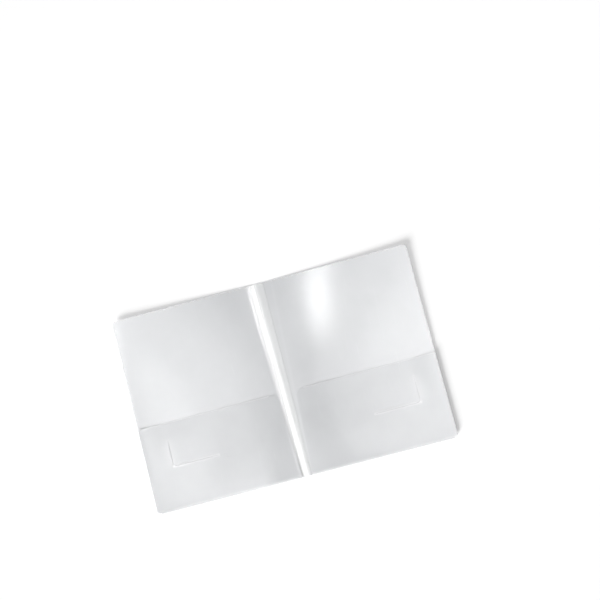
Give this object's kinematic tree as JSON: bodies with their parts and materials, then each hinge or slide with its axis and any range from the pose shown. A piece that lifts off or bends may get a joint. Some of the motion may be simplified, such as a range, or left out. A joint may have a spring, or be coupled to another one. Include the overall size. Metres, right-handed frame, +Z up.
{
  "type": "two pocket folder",
  "caption": "Clear plastic pocket folder lying open: front and back covers creased to a narrow spine, each with a welded lower pocket cut with an L-shaped card slit.",
  "frame": {"origin": "on the table under the middle of the spine, with the folder open and flat", "axes": "+X across the folder to the back cover's fore edge, +Y from the foot to the head, +Z up, out of the inside faces"},
  "size_m": [0.4712, 0.3048, 0.0022],
  "materials": {
    "cover_sheet": "clear frosted polypropylene sheet with a satin shine and a fine grain",
    "pocket_sheet": "the same frosted sheet, smooth at its cut edges",
    "spine_sheet": "the same sheet, whitened where it was creased and worked",
    "crease": "thin pressed web, stress-whitened",
    "weld": "heat-welded seam with a fine pressed pattern"
  },
  "bodies": {
    "back_cover": {"back_cover": "cover_sheet", "back_pocket_panel": "pocket_sheet", "back_pocket_fold": "pocket_sheet", "back_pocket_weld": "weld"},
    "spine": {"spine": "spine_sheet", "back_crease": "crease", "front_crease": "crease"},
    "front_cover": {"front_cover": "cover_sheet", "front_pocket_panel": "pocket_sheet", "front_pocket_fold": "pocket_sheet", "front_pocket_weld": "weld"},
    "back_pocket_mouth": {"back_pocket_mouth": "pocket_sheet"},
    "front_pocket_mouth": {"front_pocket_mouth": "pocket_sheet"},
    "back_card_tongue": {"back_card_tongue": "pocket_sheet"},
    "front_card_tongue": {"front_card_tongue": "pocket_sheet"}
  },
  "joints": [
    {"name": "spine_fold", "type": "hinge", "parent": "back_cover", "child": "spine", "pos_m": [0.007, 0, 0.00013], "axis": [0, 1, 0], "range_deg": [0, 90]},
    {"name": "front_cover_fold", "type": "hinge", "parent": "spine", "child": "front_cover", "pos_m": [-0.007, 0, 0.00013], "axis": [0, 1, 0], "range_deg": [0, 90]},
    {"name": "back_pocket_opening", "type": "hinge", "parent": "back_cover", "child": "back_pocket_mouth", "pos_m": [0.0086, -0.1513, 0.00195], "axis": [0.8624, 0.5062, 0], "range_deg": [0, 2.3], "stiffness_Nm_per_rad": 0.07},
    {"name": "front_pocket_opening", "type": "hinge", "parent": "front_cover", "child": "front_pocket_mouth", "pos_m": [-0.0086, -0.1513, 0.00195], "axis": [0.8624, -0.5062, 0], "range_deg": [0, 2.3], "stiffness_Nm_per_rad": 0.07},
    {"name": "back_tongue_bend", "type": "hinge", "parent": "back_cover", "child": "back_card_tongue", "pos_m": [0.1236, -0.0873, 0.00195], "axis": [-0.866, -0.5001, 0], "range_deg": [-1.5, 6], "stiffness_Nm_per_rad": 0.07},
    {"name": "front_tongue_bend", "type": "hinge", "parent": "front_cover", "child": "front_card_tongue", "pos_m": [-0.1236, -0.0873, 0.00195], "axis": [-0.866, 0.5001, 0], "range_deg": [-1.5, 6], "stiffness_Nm_per_rad": 0.07}
  ]
}
